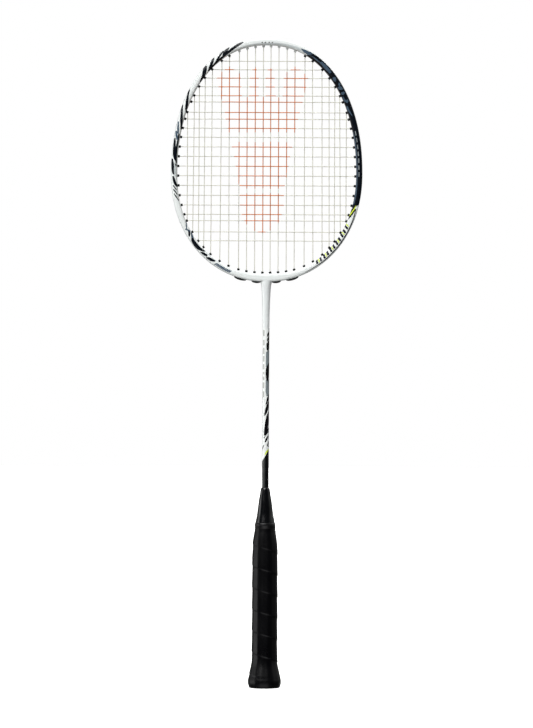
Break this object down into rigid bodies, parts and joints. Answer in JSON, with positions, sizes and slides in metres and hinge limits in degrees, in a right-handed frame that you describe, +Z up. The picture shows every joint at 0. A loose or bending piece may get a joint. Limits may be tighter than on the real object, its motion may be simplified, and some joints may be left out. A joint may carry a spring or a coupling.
{
  "type": "badminton racket",
  "caption": "Full-size badminton racket: hollow oval head strung with nylon through black grommets, slim shaft, black cone and wound black grip with a flared butt.",
  "frame": {"origin": "middle of the butt's flat end", "axes": "+Z up the shaft to the head; the string bed lies in the XZ plane; the front face looks along -Y"},
  "size_m": [0.199, 0.0326, 0.675],
  "materials": {
    "painted_frame": "pearl white painted graphite with navy, slate and lime graphics under clear coat",
    "joint": "moulded composite, hidden",
    "painted_shaft": "white paint above, black below, clear coat",
    "cone": "gloss black",
    "core": "plain turned hardwood",
    "cap": "satin black",
    "wrap": "matte polyurethane, wound in a spiral",
    "tape": "black vinyl",
    "string": "off-white braided nylon with a coral stencil",
    "grommet": "black moulded nylon"
  },
  "bodies": {
    "root": {"head_frame": "painted_frame", "t_joint": "joint", "throat_sleeve": "painted_shaft", "shaft": "painted_shaft", "cone_cap": "cone", "handle_core": "core", "butt_cap": "cap", "grip_wrap": "wrap", "grip_finishing_tape": "tape", "main_string": "string", "cross_string": "string", "grommet_head_m1_L": "grommet", "grommet_head_m2_L": "grommet", "grommet_head_m3_L": "grommet", "grommet_head_m4_L": "grommet", "grommet_head_m5_L": "grommet", "grommet_side_c8_L": "grommet", "grommet_side_c9_L": "grommet", "grommet_side_c10_L": "grommet", "grommet_side_c11_L": "grommet", "grommet_side_c12_L": "grommet", "grommet_side_c13_L": "grommet", "grommet_side_c14_L": "grommet", "grommet_side_c15_L": "grommet", "grommet_side_c16_L": "grommet", "grommet_side_c17_L": "grommet", "grommet_side_c18_L": "grommet", "grommet_strip_upper_L": "grommet", "grommet_strip_lower_L": "grommet", "throat_saddle_outer_L": "grommet", "throat_saddle_inner_L": "grommet", "grommet_head_m1_R": "grommet", "grommet_head_m2_R": "grommet", "grommet_head_m3_R": "grommet", "grommet_head_m4_R": "grommet", "grommet_head_m5_R": "grommet", "grommet_side_c8_R": "grommet", "grommet_side_c9_R": "grommet", "grommet_side_c10_R": "grommet", "grommet_side_c11_R": "grommet", "grommet_side_c12_R": "grommet", "grommet_side_c13_R": "grommet", "grommet_side_c14_R": "grommet", "grommet_side_c15_R": "grommet", "grommet_side_c16_R": "grommet", "grommet_side_c17_R": "grommet", "grommet_side_c18_R": "grommet", "grommet_strip_upper_R": "grommet", "grommet_strip_lower_R": "grommet", "throat_saddle_outer_R": "grommet", "throat_saddle_inner_R": "grommet"}
  },
  "joints": []
}
